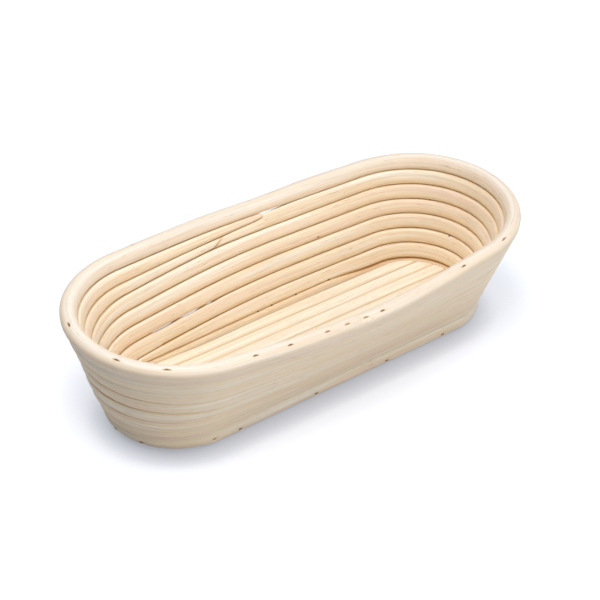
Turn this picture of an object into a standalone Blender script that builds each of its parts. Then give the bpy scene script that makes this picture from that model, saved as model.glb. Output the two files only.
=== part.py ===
"""Baguette proofing basket: one long rattan cane wound round a base of straight canes, under a rim cane."""

import math

import bmesh
import bpy
from mathutils import Matrix, Vector

# Cane: peeled rattan core, round inside, pressed where turns bed on each other, squared and sanded outside
CANE_DIAMETER = 0.0105
BED_PRESS = 0.0005
TURN_GAP = 0.0005
SANDED_DEPTH = 0.00085
OUTER_EDGE_RADIUS = 0.0061

# Wall: the base turn is level WALL_TURNS, the rim is level 0
WALL_TURNS = 7
BASE_STRAIGHT = 0.185
BASE_TURN_RADIUS = 0.0395
END_LEAN = math.radians(18.0)
SIDE_LEAN = math.radians(29.0)
LEFT_BELLY = 0.0018
BELLY_TOP_LEVEL = 2.5
BASE_EDGE_EASE = 0.0020
FAR_DIP_SHARE = 0.030
FAR_DIP_X = 0.045
FAR_DIP_REACH = 0.080

# Winding: it climbs one level on the far side, ends in a wedge that a notch in the turn below takes, and has
# one splice; past the wedge's tip a slit of light stays open under the rim
TIP_X = 0.0165
CLIMB_LENGTH = 0.150
CLIMB_EASE = 0.012
CLIMB_POWER = 1.5
WEDGE_POWER = 0.6
TIP_THICKNESS = 0.003
TIP_SLIT = 0.0012
TIP_RUNOUT = 0.028
NOTCH_STEP = 0.0006
SPLICE_X = -0.0175
SPLICE_SLOPE = 1.8
RIM_SPLICE_X = -0.028
RIM_SPLICE_SLOPE = 3.2

# Base: straight canes inside the base turn
BASE_CANES = 7
BASE_CANE_GAP = 0.0004
BASE_CLEARANCE = 0.0008
BASE_SANDED_DEPTH = 0.0005

# Brads: T-headed wire nails
BRAD_LENGTH = 0.018
BRAD_WIDTH = 0.00125
BRAD_THICKNESS = 0.001
BRAD_HEAD_WIDTH = 0.0022
BRAD_HEAD_HEIGHT = 0.0009
BRAD_CLEARANCE = 0.0003
BRAD_SINK = 0.0004
WALL_BRAD_LENGTH = 0.013
BASE_BRAD_LENGTH = 0.015
SIDE_BRAD_HEIGHT = 0.0026
END_BRAD_HEIGHT = 0.0043
WALL_BRAD_INSET = 0.0022

# Places round the loop: shares of the half length along a side, or degrees round an end from +X
RIM_BRADS_NEAR = (-0.89, -0.65, -0.38, -0.23, -0.09, 0.04, 0.76)
RIM_BRADS_FAR = (-0.83, -0.20, 0.10, 0.52)
RIM_BRADS_LEFT = (165.0, 207.0, 234.0)
RIM_BRADS_RIGHT = (-76.0,)
BASE_BRADS_NEAR = (-0.83, -0.22, 0.38, 0.88)
BASE_BRADS_FAR = (0.45, 0.80)
BASE_BRADS_LEFT = (181.0, 208.0, 266.5)
BASE_BRADS_RIGHT = (0.0,)
# Wall brads: the level that the brad is driven through, with its place on the far side or the right end
WALL_BRADS_FAR = ((4, 0.57),)
WALL_BRADS_RIGHT = ((3, 38.0), (5, 15.0))

# Facets: ribs on each stretch of the loop
END_RIB_COUNT = 16
FAR_RIGHT_RIB_COUNT = 4
NEAR_RIGHT_RIB_COUNT = 6
NEAR_LEFT_RIB_COUNT = 3
FAR_LEFT_RIB_COUNT = 4
TIP_RIB_COUNT = 2

# Derived sizes
CANE_RADIUS = CANE_DIAMETER / 2
PITCH = CANE_DIAMETER - 2 * BED_PRESS + TURN_GAP
SANDED_REACH = CANE_RADIUS - SANDED_DEPTH
HALF_STRAIGHT = BASE_STRAIGHT / 2
BASE_TURN_HEIGHT = CANE_RADIUS - BED_PRESS
WALK_RADIUS = BASE_TURN_RADIUS + PITCH
FAR = math.radians(90.0)
NEAR = math.radians(-90.0)
FULL_TURN = math.radians(360.0)

# Section corners, as angles round the cane's centre from the outward side
SANDED_CORNER = math.acos(SANDED_REACH / OUTER_EDGE_RADIUS)
EDGE_CORNER = math.asin((CANE_RADIUS - BED_PRESS) / OUTER_EDGE_RADIUS)
BED_CORNER = math.asin(1 - BED_PRESS / CANE_RADIUS)
RIM_CORNER = math.acos(SANDED_REACH / CANE_RADIUS)
INNER_ANGLES = (
    math.pi - BED_CORNER,
    math.pi - BED_CORNER / 2,
    math.pi,
    math.pi + BED_CORNER / 2,
    math.pi + BED_CORNER,
)
TURN_ANGLES = (SANDED_CORNER, EDGE_CORNER) + INNER_ANGLES
RIM_ANGLES = (RIM_CORNER, (RIM_CORNER + FAR) / 2, FAR) + INNER_ANGLES
LOWER_ANGLES = (-EDGE_CORNER, -SANDED_CORNER)
EASED_ANGLES = (
    -math.atan2(BASE_TURN_HEIGHT, SANDED_REACH - BASE_EDGE_EASE),
    -math.atan2(BASE_TURN_HEIGHT - BASE_EDGE_EASE, SANDED_REACH),
)


def clear_scene():
    for old in list(bpy.data.objects):
        bpy.data.objects.remove(old, do_unlink=True)


def new_collection(name):
    collection = bpy.data.collections.new(name)
    bpy.context.scene.collection.children.link(collection)
    return collection


def new_material(name, colour, roughness, metallic=0.0):
    material = bpy.data.materials.new(name)
    material.use_nodes = True
    shader = material.node_tree.nodes["Principled BSDF"]
    shader.inputs["Base Color"].default_value = (*colour, 1.0)
    shader.inputs["Roughness"].default_value = roughness
    shader.inputs["Metallic"].default_value = metallic
    return material


def spread(start, end, count):
    return [start + (end - start) * i / count for i in range(count)]


def loop_ribs():
    """Ribs round one loop from the tip: the foot on the long axis and the outward direction's angle."""
    left = NEAR - math.pi
    ribs = [(x, FAR) for x in spread(TIP_X, HALF_STRAIGHT, FAR_RIGHT_RIB_COUNT)]
    ribs += [(HALF_STRAIGHT, angle) for angle in spread(FAR, NEAR, END_RIB_COUNT)]
    ribs += [(x, NEAR) for x in spread(HALF_STRAIGHT, RIM_SPLICE_X, NEAR_RIGHT_RIB_COUNT)]
    ribs += [(x, NEAR) for x in spread(RIM_SPLICE_X, -HALF_STRAIGHT, NEAR_LEFT_RIB_COUNT)]
    ribs += [(-HALF_STRAIGHT, angle) for angle in spread(NEAR, left, END_RIB_COUNT)]
    ribs += [(x, left) for x in spread(-HALF_STRAIGHT, SPLICE_X, FAR_LEFT_RIB_COUNT)]
    ribs += [(x, left) for x in spread(SPLICE_X, TIP_X, TIP_RIB_COUNT)]
    return ribs


def outward(angle):
    return Vector((math.cos(angle), math.sin(angle), 0.0))


def along(angle):
    return Vector((math.sin(angle), -math.cos(angle), 0.0))


def lean_of(rib):
    """The wall leans out least at the two ends and most in the middle of the long sides."""
    foot, angle = rib
    turned = math.acos(min(1.0, abs(math.sin(angle))))
    walked = abs(foot) + WALK_RADIUS * turned
    half_walk = HALF_STRAIGHT + WALK_RADIUS * math.pi / 2
    side_share = math.cos(math.pi / 2 * walked / half_walk) ** 2
    return END_LEAN + (SIDE_LEAN - END_LEAN) * side_share


def wall_line(lean, level):
    """Radius, height and lean of the wall's centreline: upright at the base turn, bent over one turn."""
    rise = WALL_TURNS - level
    bent = max(0.0, min(1.0, rise))
    straight = max(0.0, rise - 1.0)
    below = min(0.0, rise)
    radius = BASE_TURN_RADIUS + PITCH * (bent * math.sin(lean * bent / 2) + straight * math.sin(lean))
    height = BASE_TURN_HEIGHT + PITCH * (bent * math.cos(lean * bent / 2) + straight * math.cos(lean) + below)
    return radius, height, lean * bent


def left_belly(rib, level):
    """The lower turns stand out a little at the left end."""
    leftward = max(0.0, -math.cos(rib[1]))
    below = (level - BELLY_TOP_LEVEL) / (WALL_TURNS + 0.5 - BELLY_TOP_LEVEL)
    return LEFT_BELLY * leftward * math.sin(math.pi * max(0.0, min(1.0, below)))


def far_dip(rib):
    """The far side dips a little, to the right of its middle: share of the height that is lost."""
    foot, angle = rib
    if math.sin(angle) <= 0.0:
        return 0.0
    turned = math.copysign(math.acos(min(1.0, math.sin(angle))), math.cos(angle))
    away = min(1.0, abs(foot + WALK_RADIUS * turned - FAR_DIP_X) / FAR_DIP_REACH)
    return FAR_DIP_SHARE * math.cos(math.pi / 2 * away) ** 2


def wall_frame(rib, level):
    """Centre of a turn, with its directions along the cane, out of the wall and up the wall."""
    foot, angle = rib
    radius, height, lean = wall_line(lean_of(rib), level)
    height = BASE_TURN_HEIGHT + (height - BASE_TURN_HEIGHT) * (1.0 - far_dip(rib))
    out = outward(angle)
    centre = Vector((foot, 0.0, height)) + out * (radius + left_belly(rib, level))
    normal = out * math.cos(lean) - Vector((0.0, 0.0, math.sin(lean)))
    upward = out * math.sin(lean) + Vector((0.0, 0.0, math.cos(lean)))
    return centre, along(angle), normal, upward


def lower_angles(level):
    """The two lower corners outside: sharp at a seam, further apart where the base edge is eased."""
    grounded = max(0.0, min(1.0, level - (WALL_TURNS - 1)))
    return tuple(sharp + (eased - sharp) * grounded for sharp, eased in zip(LOWER_ANGLES, EASED_ANGLES))


def section(rib, level, top, bottom, upper_angles=TURN_ANGLES, top_edge_radius=OUTER_EDGE_RADIUS):
    """A cane's section between two seam levels: round inside, pressed at the seams, squared outside."""
    centre, _, normal, upward = wall_frame(rib, level)
    top_centre, _, _, top_up = wall_frame(rib, top)
    bottom_centre, _, _, bottom_up = wall_frame(rib, bottom)
    ground = Vector((0.0, 0.0, 1.0))
    out = outward(rib[1])
    base_centre = wall_frame(rib, WALL_TURNS)[0]
    edge = base_centre + out * SANDED_REACH + ground * (BASE_EDGE_EASE - base_centre.z)
    eased = (out - ground).normalized()
    limits = [
        (top_up, top_centre.dot(top_up) - TURN_GAP / 2),
        (-bottom_up, -bottom_centre.dot(bottom_up) - TURN_GAP / 2),
        (normal, centre.dot(normal) + SANDED_REACH),
        (-ground, 0.0),
        (eased, edge.dot(eased)),
    ]
    reach = CANE_RADIUS / PITCH
    highest = max(top + TURN_GAP / PITCH / 2, level - reach)
    lowest = min(bottom - TURN_GAP / PITCH / 2, level + reach, WALL_TURNS + BASE_TURN_HEIGHT / PITCH)
    middle = wall_frame(rib, (highest + lowest) / 2)[0]
    flatness = (lowest - highest) * PITCH / (CANE_DIAMETER - 2 * BED_PRESS)
    ring = []
    for angle in upper_angles + lower_angles(level):
        radius = CANE_RADIUS
        if math.cos(angle) > 0.0:
            radius = top_edge_radius if math.sin(angle) > 0.0 else OUTER_EDGE_RADIUS
        ray = normal * math.cos(angle) + upward * math.sin(angle) * flatness
        offset = middle - centre
        square = ray.dot(ray)
        half = offset.dot(ray)
        length = (-half + math.sqrt(half * half - square * (offset.dot(offset) - radius ** 2))) / square
        for direction, limit in limits:
            speed = ray.dot(direction)
            if speed > 0.0:
                length = min(length, (limit - middle.dot(direction)) / speed)
        ring.append(middle + ray * length)
    return ring


def skewed(ring, rib, level, slope, side):
    """An end ring on the slanting plane of a splice; side is +1 or -1 along X."""
    centre, _, _, upward = wall_frame(rib, level)
    shift = side * TURN_GAP / 2 * math.hypot(1.0, slope)
    return [point + Vector((slope * (point - centre).dot(upward) + shift, 0.0, 0.0)) for point in ring]


def add_object(name, mesh, collection, material):
    part = bpy.data.objects.new(name, mesh)
    collection.objects.link(part)
    mesh.materials.append(material)
    return part


def loft(name, rings, collection, material):
    """A closed body through rings of equal count, shaded smooth along the cane."""
    body = bmesh.new()
    loops = [[body.verts.new(point) for point in ring] for ring in rings]
    for before, after in zip(loops, loops[1:]):
        for i in range(len(before)):
            body.faces.new((before[i - 1], before[i], after[i], after[i - 1]))
    body.faces.new(loops[0])
    body.faces.new(loops[-1])
    bmesh.ops.recalc_face_normals(body, faces=body.faces)
    mesh = bpy.data.meshes.new(name)
    body.to_mesh(mesh)
    body.free()
    mesh.shade_smooth()
    mesh.set_sharp_from_angle(angle=math.radians(40.0))
    return add_object(name, mesh, collection, material)


def climb_shares(ribs):
    """For each rib of the loop, the share of a level that the winding has climbed and the wedge's thickness."""
    places = [Vector((foot, 0.0, 0.0)) + outward(angle) * WALK_RADIUS for foot, angle in ribs]
    steps = [(places[(i + 1) % len(places)] - place).length for i, place in enumerate(places)]
    loop_length = sum(steps)
    walked = [sum(steps[:i]) for i in range(len(steps))]

    def fallen(distance, power):
        return max(0.0, min(1.0, distance / CLIMB_LENGTH)) ** power

    shares, wedges = [], []
    for place in walked:
        left = loop_length - place
        eased = [fallen(left + ease, CLIMB_POWER) for ease in (-CLIMB_EASE, 0.0, CLIMB_EASE)]
        shares.append(1.0 - sum(eased) / len(eased))
        wedges.append(TIP_THICKNESS / PITCH + (1.0 - TIP_THICKNESS / PITCH) * fallen(left, WEDGE_POWER))
    return shares, wedges, walked


def winding_rings(ribs):
    """Sections of the whole winding from its thin start on the base to its tip under the rim."""
    count = len(ribs)
    shares, wedges, walked = climb_shares(ribs)
    tip = TIP_THICKNESS / PITCH
    started = [i for i in range(count) if shares[i] > tip]
    rings = []
    for step in range(started[0] - count, WALL_TURNS * count + 1):
        turn, i = divmod(step, count)
        level = WALL_TURNS - turn - shares[i]
        top, bottom = level - 0.5, level + 0.5
        if turn == WALL_TURNS:
            top, bottom = 0.5, 0.5 + tip
        elif turn == WALL_TURNS - 1:
            top, bottom = 0.5 + slit_width(walked[i]), 0.5 + wedges[i]
        elif turn == WALL_TURNS - 2:
            top = 0.5 + wedges[i]
        if turn > 0:
            level = (top + bottom) / 2
        rings.append((ribs[i], level, section(ribs[i], level, top, bottom)))
    return rings


def slit_width(past_tip):
    """Width of the slit under the rim at a distance past the wedge's tip, in levels."""
    return TIP_SLIT / PITCH * max(0.0, 1.0 - past_tip / TIP_RUNOUT)


def notch_rings():
    """Sections of the notch that takes the tip: its floor runs on under the tip and then steps up."""
    floor, bottom = 0.5 + TIP_THICKNESS / PITCH, 1.5
    stepped_up = 0.5 + slit_width(2 * NOTCH_STEP)
    rings = []
    for past_tip, top in ((0.0, floor), (NOTCH_STEP, floor), (2 * NOTCH_STEP, stepped_up)):
        rings.append(section((TIP_X + past_tip, FAR), (top + bottom) / 2, top, bottom))
    return rings


def build_winding(ribs, collection, material):
    """The winding's two lengths, which meet at a slanting splice on the far side."""
    rings = winding_rings(ribs)
    splice_rib = ribs.index((SPLICE_X, NEAR - math.pi))
    after_splice = len(ribs) - splice_rib + len(ribs)
    cut = len(rings) - 1 - after_splice
    past_notch = len(rings) - len(ribs)
    rib, level, ring = rings[cut]
    sections = [item[2] for item in rings]
    lower = sections[:cut] + [skewed(ring, rib, level, SPLICE_SLOPE, -1)]
    upper = [skewed(ring, rib, level, SPLICE_SLOPE, 1)] + sections[cut + 1:past_notch - 1]
    upper += notch_rings() + sections[past_notch:]
    print_least_gap(rings, len(ribs))
    lower_cane = loft("lower_wall_cane", lower, collection, material)
    upper_cane = loft("upper_wall_cane", upper, collection, material)
    return lower_cane, upper_cane


def print_least_gap(rings, count):
    """Least distance between the points of one turn and those of the next turn up, at the same rib."""
    least = min(
        (a - b).length
        for (_, _, low), (_, _, high) in zip(rings, rings[count:])
        for a in low
        for b in high
    )
    print("least gap between turns of the winding: %.2f mm" % (least * 1000))


def build_rim(ribs, collection, material):
    """The rim: one cane bent round to meet itself at a long slanting splice on the near side."""
    start = ribs.index((RIM_SPLICE_X, NEAR))
    order = ribs[start:] + ribs[:start] + [ribs[start]]
    top = -0.5 - BED_PRESS / PITCH
    rings = [section(rib, 0.0, top, 0.5, RIM_ANGLES, CANE_RADIUS) for rib in order]
    rings[0] = skewed(rings[0], order[0], 0.0, RIM_SPLICE_SLOPE, -1)
    rings[-1] = skewed(rings[-1], order[-1], 0.0, RIM_SPLICE_SLOPE, 1)
    return loft("rim_cane", rings, collection, material)


def base_cane_ring(middle, half_width, side):
    """End of a base cane, cut to the curve inside the base turn; side is +1 or -1 along X."""
    inner_radius = BASE_TURN_RADIUS - CANE_RADIUS - BASE_CLEARANCE
    sanded_top = CANE_RADIUS - BASE_SANDED_DEPTH
    ring = []
    for i in range(12):
        angle = FULL_TURN * (i + 0.5) / 12
        across = max(-half_width, min(half_width, CANE_RADIUS * math.cos(angle)))
        high = max(-BASE_TURN_HEIGHT, min(sanded_top, CANE_RADIUS * math.sin(angle)))
        y = middle + across
        end = HALF_STRAIGHT + math.sqrt(max(0.0, inner_radius ** 2 - y ** 2))
        ring.append(Vector((side * end, y, BASE_TURN_HEIGHT + high)))
    return ring


def build_base(collection, material):
    """Straight canes side by side, filling the width inside the base turn."""
    inner_width = 2 * (BASE_TURN_RADIUS - CANE_RADIUS - BASE_CLEARANCE)
    cane_pitch = inner_width / BASE_CANES
    canes = []
    for i in range(BASE_CANES):
        middle = (i - (BASE_CANES - 1) / 2) * cane_pitch
        half_width = (cane_pitch - BASE_CANE_GAP) / 2
        rings = [base_cane_ring(middle, half_width, side) for side in (-1, 1)]
        canes.append(loft("base_cane_%d" % (i + 1), rings, collection, material))
    return canes


def brad_outline(length, clearance, overshoot):
    """Half of a T-headed brad's outline: width and height, head at height 0, point down."""
    half_head = BRAD_HEAD_WIDTH / 2 + clearance
    half_shank = BRAD_WIDTH / 2 + clearance
    neck = -BRAD_HEAD_HEIGHT - clearance
    return [(half_head, overshoot), (half_head, neck), (half_shank, neck), (half_shank, -length - clearance)]


def brad_mesh(name, frames, length, clearance, overshoot):
    """One body for each frame: the outline mirrored and given the brad's thickness."""
    half = brad_outline(length, clearance, overshoot)
    outline = half + [(-x, z) for x, z in reversed(half)]
    half_thickness = BRAD_THICKNESS / 2 + clearance
    body = bmesh.new()
    for frame in frames:
        verts = [body.verts.new(frame @ Vector((x, -half_thickness, z))) for x, z in outline]
        front = body.faces.new(verts)
        grown = bmesh.ops.extrude_face_region(body, geom=[front])
        moved = [item for item in grown["geom"] if isinstance(item, bmesh.types.BMVert)]
        bmesh.ops.translate(body, verts=moved, vec=frame.to_3x3() @ Vector((0.0, 2 * half_thickness, 0.0)))
    bmesh.ops.recalc_face_normals(body, faces=body.faces)
    mesh = bpy.data.meshes.new(name)
    body.to_mesh(mesh)
    body.free()
    return mesh


def frame_matrix(origin, x_axis, y_axis, z_axis):
    rows = Matrix((x_axis, y_axis, z_axis)).transposed().to_4x4()
    rows.translation = origin
    return rows


def places_on_loop(near=(), far=(), left=(), right=()):
    ribs = [(share * HALF_STRAIGHT, NEAR) for share in near]
    ribs += [(share * HALF_STRAIGHT, FAR) for share in far]
    ribs += [(-HALF_STRAIGHT, math.radians(degrees)) for degrees in left]
    ribs += [(HALF_STRAIGHT, math.radians(degrees)) for degrees in right]
    return ribs


def driven_down(rib, level, height, inset):
    """Frame of a brad driven down the wall: its head lies at a height above the turn's centre."""
    centre, tangent, normal, upward = wall_frame(rib, level)
    return frame_matrix(centre + upward * height - normal * inset, tangent, normal, upward)


def driven_in(rib):
    """Frame of a brad driven level through the base turn from outside."""
    angle = rib[1]
    out = outward(angle)
    head = wall_frame(rib, WALL_TURNS)[0] + out * (SANDED_REACH - BRAD_SINK)
    head.z = SIDE_BRAD_HEIGHT if angle in (NEAR, FAR) else END_BRAD_HEIGHT
    return frame_matrix(head, along(angle), out.cross(along(angle)), out)


def cut(part, cutter):
    modifier = part.modifiers.new(cutter.name, "BOOLEAN")
    modifier.operation = "DIFFERENCE"
    modifier.solver = "EXACT"
    modifier.object = cutter


def build_brads(parts, cutters, material, pierced):
    """Brads of three kinds, with holes of a set clearance in every cane that they pass through."""
    rim_ribs = places_on_loop(RIM_BRADS_NEAR, RIM_BRADS_FAR, RIM_BRADS_LEFT, RIM_BRADS_RIGHT)
    base_ribs = places_on_loop(BASE_BRADS_NEAR, BASE_BRADS_FAR, BASE_BRADS_LEFT, BASE_BRADS_RIGHT)
    bedded = CANE_RADIUS - BED_PRESS
    wall_places = [(level, (share * HALF_STRAIGHT, FAR)) for level, share in WALL_BRADS_FAR]
    wall_places += [(level, (HALF_STRAIGHT, math.radians(degrees))) for level, degrees in WALL_BRADS_RIGHT]
    groups = {
        "rim_brad": (
            [driven_down(rib, 0.0, CANE_RADIUS - BRAD_SINK, 0.0) for rib in rim_ribs], BRAD_LENGTH),
        "wall_brad": (
            [driven_down(rib, level, bedded - BRAD_SINK, WALL_BRAD_INSET) for level, rib in wall_places],
            WALL_BRAD_LENGTH),
        "base_brad": ([driven_in(rib) for rib in base_ribs], BASE_BRAD_LENGTH),
    }
    for name, (frames, length) in groups.items():
        shared = brad_mesh(name, [Matrix.Identity(4)], length, 0.0, 0.0)
        shared.materials.append(material)
        for number, frame in enumerate(frames, 1):
            brad = bpy.data.objects.new("%s_%d" % (name, number), shared)
            brad.matrix_world = frame
            parts.objects.link(brad)
        opening = BRAD_SINK + TURN_GAP / 2
        hole_mesh = brad_mesh(name + "_holes", frames, length, BRAD_CLEARANCE, opening)
        holes = bpy.data.objects.new(name + "_holes", hole_mesh)
        cutters.objects.link(holes)
        holes.hide_render = True
        holes.display_type = "WIRE"
        for part in pierced[name]:
            cut(part, holes)


def main():
    clear_scene()
    parts = new_collection("baguette_proofing_basket")
    cutters = new_collection("cutters")
    wall_cane = new_material("peeled_rattan_wall", (0.80, 0.62, 0.40), 0.55)
    rim_material = new_material("peeled_rattan_rim", (0.86, 0.73, 0.54), 0.55)
    base_material = new_material("peeled_rattan_base", (0.84, 0.68, 0.46), 0.6)
    steel = new_material("dulled_steel_brads", (0.16, 0.12, 0.09), 0.45, 0.8)

    ribs = loop_ribs()
    rim = build_rim(ribs, parts, rim_material)
    lower, upper = build_winding(ribs, parts, wall_cane)
    base = build_base(parts, base_material)
    pierced = {
        "rim_brad": [rim, upper, lower],
        "wall_brad": [upper, lower],
        "base_brad": [lower] + base,
    }
    build_brads(parts, cutters, steel, pierced)


main()
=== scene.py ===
import math

import bmesh
import bpy
from mathutils import Matrix, Vector, noise


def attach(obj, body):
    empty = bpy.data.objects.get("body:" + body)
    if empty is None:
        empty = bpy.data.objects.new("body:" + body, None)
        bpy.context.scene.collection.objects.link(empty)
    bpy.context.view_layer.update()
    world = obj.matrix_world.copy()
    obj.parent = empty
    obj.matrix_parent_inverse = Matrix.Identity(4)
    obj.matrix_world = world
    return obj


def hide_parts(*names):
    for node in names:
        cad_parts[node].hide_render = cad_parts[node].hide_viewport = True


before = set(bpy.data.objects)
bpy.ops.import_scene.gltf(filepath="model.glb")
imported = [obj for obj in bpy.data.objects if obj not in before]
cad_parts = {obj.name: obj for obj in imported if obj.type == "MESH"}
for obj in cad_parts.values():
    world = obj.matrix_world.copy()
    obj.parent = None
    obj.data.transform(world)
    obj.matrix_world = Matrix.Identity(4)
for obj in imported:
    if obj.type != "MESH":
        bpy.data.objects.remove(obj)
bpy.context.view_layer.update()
scene = bpy.context.scene
print("frame loaded:", len(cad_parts), "nodes")

mm = 0.001
farSide = math.pi / 2
nearSide = -math.pi / 2
halfTurn = 0.5  # level: a seam lies this far from the middles of its turns
sharpAngle = math.radians(50.0)
halvings = 40
tiny = 1e-6

# lines of the basket: the rim is level 0 and the base turn is level 7
wallForm = {
    "turns": 7,
    "pitch": 10.0 * mm,
    "insideReach": 5.25 * mm,  # from the cane's centre
    "outsideReach": 4.4 * mm,  # sanded face
    "bedGap": 0.004 * mm,  # turns touch here
    "halfStraight": 92.5 * mm,
    "baseRadius": 39.5 * mm,
    "baseHeight": 4.75 * mm,
    "endLean": math.radians(18.0),
    "sideLean": math.radians(29.0),
    "leftBelly": 1.8 * mm,
    "bellyTop": 2.5,  # level
    "insideRoundness": 4.0,  # 2 is a circle, more is squarer
    "outsideRoundness": 48.0,
    "startRoundness": 3.0,  # of the thick start, which slopes down to the base canes
    "overStartRoundness": 7.0,  # of the turn that lies on it
    "outsideBulge": 0.10 * mm,  # of a band between its seams
    "leftBulge": 1.0 * mm,
    "groundRoundness": 3.0,
    "groundedRun": 0.3,  # levels over the ground in which the lower edge turns round
    "groundDepth": 0.1,  # levels below the ground, for a turn with nothing under it
    "leftEase": 3.6 * mm,  # base edge at the left end
    "leftEaseRun": 0.3,  # of leftwardAt, over which it comes in
    "edgeLeast": 0.3 * mm,  # of the winding's thin start
    "farDip": 0.0332,  # share of the height, for the rim
    "farDipFrom": 45.0 * mm,
    "farDipTo": 65.0 * mm,
    "farDipReach": 80.0 * mm,
    "rimRoundness": 2.2,
    "seamWander": 0.012,  # in levels
    "wanderLength": 60.0 * mm,
    "wanderSeed": 3.7,
    "wobble": 0.10 * mm,  # of the inside
    "wobbleLength": 70.0 * mm,
    "wobbleSeed": 9.1,
    "turnSeed": 1.7,
}

# the climb on the far left, the wedge under the rim, its tip in the notch, the thick start on the base
windForm = {
    "tipX": 16.5 * mm,
    "climbLength": 150.0 * mm,
    "climbEase": 12.0 * mm,
    "climbPower": 1.5,
    "wedgePower": 0.6,
    "wedgeShade": 0.45,  # its seam is tight and light
    "tipThickness": 3.0 * mm,
    "notchStep": 0.5 * mm,
    "tipSlit": 0.55 * mm,
    "tipSlitRun": 27.0 * mm,
    "tipSlitTilt": math.radians(11.0),
    "firstShare": 0.06,
    "startReach": 0.4 * mm,  # the thick start reaches farther in, up to the base canes
    "startLevel": 6.345,  # of the seam over it, in the middle of the far side
    "startSlope": -1.69,  # levels for each metre of the far side
    "startFrom": -88.0 * mm,
    "startTo": 45.0 * mm,
    "startEase": 45.0 * mm,
    "startShade": 0.6,  # share by which its seam is lighter
    "startSearch": 1.0 * mm,  # step to find where the winding begins
    "sag": 0.06,  # levels, turns below the tip
    "sagLevel": 1.5,
    "sagReach": 0.8,
    "sagX": 25.0 * mm,
    "sagRun": 67.0 * mm,
    "slitTurn": 1,  # light shows through on top of this turn
    "slitStretches": [(-82.0 * mm, -61.8 * mm), (-60.0 * mm, -41.5 * mm), (-39.5 * mm, -31.0 * mm)],
    "slitWidth": 0.32 * mm,
    "slitTilt": math.radians(15.0),
    "slitEase": 2.5 * mm,
    "slitPivot": 4.4 * mm,
    "spliceX": -19.5 * mm,
    "spliceSlope": 1.8,
    "spliceRun": 18.0 * mm,
    "spliceGap": 0.10 * mm,
    "spliceOpening": 1.5 * mm,  # at the lower edge
    "spliceShade": 0.7,
    "ringStep": 2.6 * mm,
    "endGap": 0.02 * mm,
}

walkRadius = wallForm["baseRadius"] + wallForm["pitch"]
endWalk = math.pi * walkRadius
farRightWalk = wallForm["halfStraight"] - windForm["tipX"]
nearWalk = 2 * wallForm["halfStraight"]
farLeftWalk = wallForm["halfStraight"] + windForm["tipX"]
loopWalk = farRightWalk + nearWalk + farLeftWalk + 2 * endWalk
groundLevel = wallForm["turns"] + wallForm["baseHeight"] / wallForm["pitch"]
tipShare = windForm["tipThickness"] / wallForm["pitch"]


def clamp(value):
    return max(0.0, min(1.0, value))


# the last value between two ends at which a test still holds, by halving
def lastWhere(holds, low, high):
    for _ in range(halvings):
        middle = (low + high) / 2
        low, high = (middle, high) if holds(middle) else (low, middle)
    return low


# foot on the long axis and outward angle, after a walk round the loop from the tip
def placeOnLoop(walked):
    half = wallForm["halfStraight"]
    walked = walked % loopWalk
    if walked < farRightWalk:
        return windForm["tipX"] + walked, farSide
    walked -= farRightWalk
    if walked < endWalk:
        return half, farSide - walked / walkRadius
    walked -= endWalk
    if walked < nearWalk:
        return half - walked, nearSide
    walked -= nearWalk
    if walked < endWalk:
        return -half, nearSide - walked / walkRadius
    return -half + walked - endWalk, farSide - 2 * math.pi


# the walk to a place that is given as ("near", x), ("far", x), ("left", degrees) or ("right", degrees)
def walkTo(side, where):
    if side == "far":
        return (where - windForm["tipX"]) % loopWalk
    if side == "near":
        return farRightWalk + endWalk + wallForm["halfStraight"] - where
    if side == "right":
        return farRightWalk + walkRadius * (farSide - math.radians(where))
    turned = nearSide + 2 * math.pi - math.radians(where)
    return farRightWalk + endWalk + nearWalk + walkRadius * turned


def leanAt(place):
    foot, angle = place
    turned = math.acos(min(1.0, abs(math.sin(angle))))
    share = (abs(foot) + walkRadius * turned) / (wallForm["halfStraight"] + walkRadius * math.pi / 2)
    bow = math.cos(math.pi / 2 * share) ** 2
    return wallForm["endLean"] + (wallForm["sideLean"] - wallForm["endLean"]) * bow


# 1 along a stretch of the far side, easing to 0 past its two ends; it may run on round the curves
def alongFar(place, start, end, ease):
    foot, angle = place
    if math.sin(angle) <= 0.0:
        return 0.0
    turned = math.copysign(math.acos(min(1.0, math.sin(angle))), math.cos(angle))
    x = foot + walkRadius * turned
    away = max(start - x, x - end, 0.0)
    return math.cos(math.pi / 2 * clamp(away / ease)) ** 2


# the far side dips a little, to the right of its middle and most at the rim:
# share of the height that is lost
def farDip(place, height):
    w = wallForm
    dip = alongFar(place, w["farDipFrom"], w["farDipTo"], w["farDipReach"])
    return w["farDip"] * height / w["turns"] * dip


# how far a place is turned to the left end, from 0 to 1
def leftwardAt(place):
    return max(0.0, -math.cos(place[1]))


# radius, height and tilt of the wall's middle line
def wallLine(place, lean, level):
    w = wallForm
    rise = w["turns"] - level
    bent = clamp(rise)
    straight = max(0.0, rise - 1.0)
    below = min(0.0, rise)
    radius = w["baseRadius"] + w["pitch"] * (bent * math.sin(lean * bent / 2) + straight * math.sin(lean))
    height = bent * math.cos(lean * bent / 2) + straight * math.cos(lean) + below
    low = clamp((level - w["bellyTop"]) / (w["turns"] + halfTurn - w["bellyTop"]))
    radius += w["leftBelly"] * leftwardAt(place) * math.sin(math.pi * low)
    return radius, w["baseHeight"] + w["pitch"] * height * (1.0 - farDip(place, height)), lean * bent


def inSpace(place, radius, height):
    foot, angle = place
    return Vector((foot + math.cos(angle) * radius, math.sin(angle) * radius, height))


# 1 along the far side where the thick start shows over the base canes
def overStart(place):
    return alongFar(place, windForm["startFrom"], windForm["startTo"], windForm["startEase"])


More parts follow.
